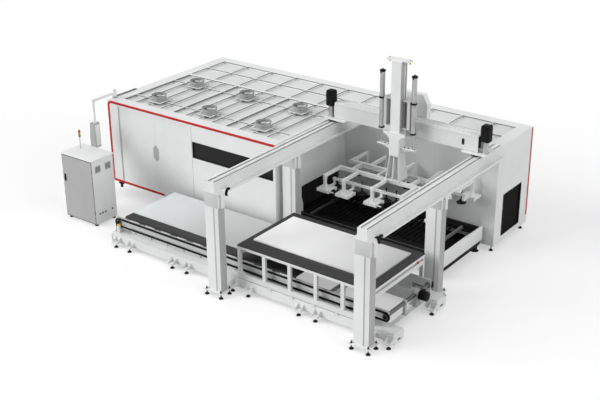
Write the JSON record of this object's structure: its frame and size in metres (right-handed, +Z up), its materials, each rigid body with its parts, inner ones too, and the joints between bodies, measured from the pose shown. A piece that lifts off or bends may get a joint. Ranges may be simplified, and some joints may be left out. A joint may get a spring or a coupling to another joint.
{
  "type": "fiber laser cutting machine",
  "caption": "Enclosed fiber laser cutting cell with a roof-fan cabin, slat exchange table, gantry suction loader, material cart, chain-driven low pallet and control cabinet.",
  "frame": {"origin": "on the floor, under the middle of the part's bounding box", "axes": "+X along the cabin towards the loading gantry, +Y from the operator's side to the rear cabinet row, +Z up"},
  "size_m": [9.687, 6.8639, 4.456],
  "materials": {
    "white_paint": "satin powder coat",
    "grey_paint": "satin powder coat",
    "red_paint": "satin",
    "black_paint": "matte",
    "dark_board": "matte board",
    "bright_sheet": "bright rolled sheet",
    "steel": "machined",
    "rubber": "matte",
    "buffer_yellow": "matte",
    "tinted_glass": "dark laser-safe pane"
  },
  "bodies": {
    "frame": {"machine_bed": "grey_paint", "cabin_front": "white_paint", "cabin_side_walls": "white_paint", "cabin_roof": "white_paint", "window_pane": "tinted_glass", "red_trim": "red_paint", "rear_cabinet": "white_paint", "louver": "black_paint", "levelling_feet": "rubber", "fan_housings": "grey_paint", "slat_table": "black_paint", "gantry_columns": "white_paint", "gantry_beams": "white_paint", "beam_rails": "steel", "cable_trays": "white_paint", "conveyor_base": "white_paint", "base_ties": "white_paint", "chain_tracks": "white_paint", "chains": "black_paint", "conveyor_motor": "black_paint", "control_cabinet": "white_paint", "stack_light": "steel", "arm_post": "grey_paint"},
    "rotor_1": {"fan_rotor_1": "steel"},
    "rotor_2": {"fan_rotor_2": "steel"},
    "rotor_3": {"fan_rotor_3": "steel"},
    "rotor_4": {"fan_rotor_4": "steel"},
    "rotor_5": {"fan_rotor_5": "steel"},
    "rotor_6": {"fan_rotor_6": "steel"},
    "left_door": {"door_left": "white_paint"},
    "right_door": {"door_right": "white_paint"},
    "cabinet_door": {"cabinet_door": "grey_paint"},
    "arm": {"operator_arm": "white_paint"},
    "panel": {"operator_panel": "grey_paint"},
    "pallet": {"exchange_pallet": "black_paint"},
    "bridge": {"bridge_beam": "white_paint", "bridge_carriages": "white_paint", "drive_motors": "black_paint", "drive_gearboxes": "steel", "mast_carriage": "white_paint", "balance_cylinders": "steel", "cylinder_clamps": "black_paint", "rear_cover": "white_paint"},
    "mast": {"mast": "white_paint", "mast_head": "white_paint", "buffers": "buffer_yellow", "piston_rods": "steel", "suction_frame": "white_paint", "suction_cups": "rubber"},
    "cart": {"cart_sides": "white_paint", "cart_deck": "white_paint", "cart_board": "dark_board", "cart_sheet": "bright_sheet"},
    "low_pallet": {"low_pallet": "dark_board", "low_sheet": "bright_sheet"},
    "drive_shaft": {"drive_shaft": "steel"},
    "idler_shaft": {"idler_shaft": "steel"},
    "cut_gantry": {"cutting_gantry": "grey_paint"},
    "cut_carriage": {"cutting_carriage": "white_paint"},
    "cut_head": {"cutting_head": "steel"}
  },
  "joints": [
    {"name": "fan_spin_1", "type": "hinge", "parent": "frame", "child": "rotor_1", "pos_m": [-3.6985, -0.18779, 2.62], "axis": [0, 0, 1], "continuous": true},
    {"name": "fan_spin_2", "type": "hinge", "parent": "frame", "child": "rotor_2", "pos_m": [-2.0785, -0.18779, 2.62], "axis": [0, 0, 1], "continuous": true},
    {"name": "fan_spin_3", "type": "hinge", "parent": "frame", "child": "rotor_3", "pos_m": [-0.4585, -0.18779, 2.62], "axis": [0, 0, 1], "continuous": true},
    {"name": "fan_spin_4", "type": "hinge", "parent": "frame", "child": "rotor_4", "pos_m": [-3.6985, 1.19118, 2.62], "axis": [0, 0, 1], "continuous": true},
    {"name": "fan_spin_5", "type": "hinge", "parent": "frame", "child": "rotor_5", "pos_m": [-2.0785, 1.19118, 2.62], "axis": [0, 0, 1], "continuous": true},
    {"name": "fan_spin_6", "type": "hinge", "parent": "frame", "child": "rotor_6", "pos_m": [-0.4585, 1.19118, 2.62], "axis": [0, 0, 1], "continuous": true},
    {"name": "door_left_slide", "type": "slide", "parent": "frame", "child": "left_door", "axis": [-1, 0, 0], "range_m": [0, 0.28]},
    {"name": "door_right_slide", "type": "slide", "parent": "frame", "child": "right_door", "axis": [1, 0, 0], "range_m": [0, 1.15]},
    {"name": "cabinet_door_swing", "type": "hinge", "parent": "frame", "child": "cabinet_door", "pos_m": [-3.7625, -2.515, 0.8], "axis": [0, 0, 1], "range_deg": [0, 110]},
    {"name": "arm_swing", "type": "hinge", "parent": "frame", "child": "arm", "pos_m": [-4.7185, -0.688, 2.63], "axis": [0, 0, 1], "range_deg": [-80, 30]},
    {"name": "panel_swivel", "type": "hinge", "parent": "arm", "child": "panel", "pos_m": [-4.7185, -1.398, 2.1], "axis": [0, 0, 1], "range_deg": [-60, 60]},
    {"name": "exchange_travel", "type": "slide", "parent": "frame", "child": "pallet", "axis": [-1, 0, 0], "range_m": [0, 3.9]},
    {"name": "bridge_travel", "type": "slide", "parent": "frame", "child": "bridge", "axis": [0, 1, 0], "range_m": [-3, 0.05]},
    {"name": "mast_lift", "type": "slide", "parent": "bridge", "child": "mast", "axis": [0, 0, 1], "range_m": [-0.16, 0.25]},
    {"name": "cart_travel", "type": "slide", "parent": "frame", "child": "cart", "axis": [1, 0, 0], "range_m": [-3.6, 0]},
    {"name": "low_pallet_travel", "type": "slide", "parent": "frame", "child": "low_pallet", "axis": [1, 0, 0], "range_m": [0, 1.95]},
    {"name": "drive_shaft_spin", "type": "hinge", "parent": "frame", "child": "drive_shaft", "pos_m": [4.5295, -1.929, 0.518], "axis": [0, 1, 0], "range_deg": [-5, 1340]},
    {"name": "idler_shaft_spin", "type": "hinge", "parent": "frame", "child": "idler_shaft", "pos_m": [-2.7065, -1.929, 0.518], "axis": [0, 1, 0], "range_deg": [-5, 1340]},
    {"name": "cut_gantry_travel", "type": "slide", "parent": "frame", "child": "cut_gantry", "axis": [1, 0, 0], "range_m": [-0.1, 3.4]},
    {"name": "cut_carriage_travel", "type": "slide", "parent": "cut_gantry", "child": "cut_carriage", "axis": [0, 1, 0], "range_m": [-0.4, 0.6]},
    {"name": "cut_head_lift", "type": "slide", "parent": "cut_carriage", "child": "cut_head", "axis": [0, 0, 1], "range_m": [-0.12, 0.1]}
  ],
  "couplings": [
    {"joint": "drive_shaft_spin", "follows": "low_pallet_travel", "rad_per_m": 11.905},
    {"joint": "idler_shaft_spin", "follows": "low_pallet_travel", "rad_per_m": 11.905}
  ]
}
